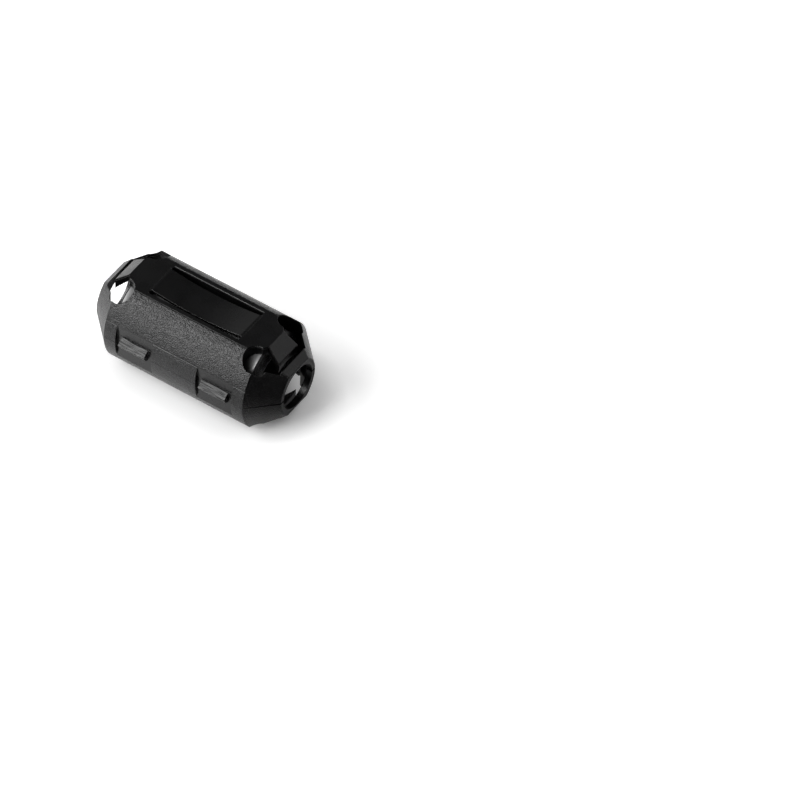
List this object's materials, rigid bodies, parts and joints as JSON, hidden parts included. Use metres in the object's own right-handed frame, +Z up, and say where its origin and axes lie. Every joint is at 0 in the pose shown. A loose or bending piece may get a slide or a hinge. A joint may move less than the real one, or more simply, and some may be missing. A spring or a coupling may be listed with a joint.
{
  "type": "clip-on ferrite bead",
  "caption": "Snap-shut housing with tapered ends and a living hinge around a split ferrite core, clipped over a cable to choke interference.",
  "frame": {"origin": "centre of the cable bore, on the parting plane of the two shells", "axes": "+X along the bore, +Z up through the flat of the upper shell, the latches on the -Y side and the living hinge on the +Y side"},
  "size_m": [0.0358, 0.0201, 0.0166],
  "materials": {
    "housing": "fine spark-eroded grain on the sides, satin on the flats",
    "ferrite": "ground, semi-matt"
  },
  "bodies": {
    "base": {"lower_shell": "housing", "lower_core": "ferrite", "living_hinge": "housing"},
    "lid": {"upper_shell": "housing", "upper_core": "ferrite"}
  },
  "joints": [
    {"name": "lid_hinge", "type": "hinge", "parent": "base", "child": "lid", "pos_m": [0, 0.00985, 0], "axis": [-1, 0, 0], "range_deg": [0, 180], "deforming": ["living_hinge"]}
  ]
}
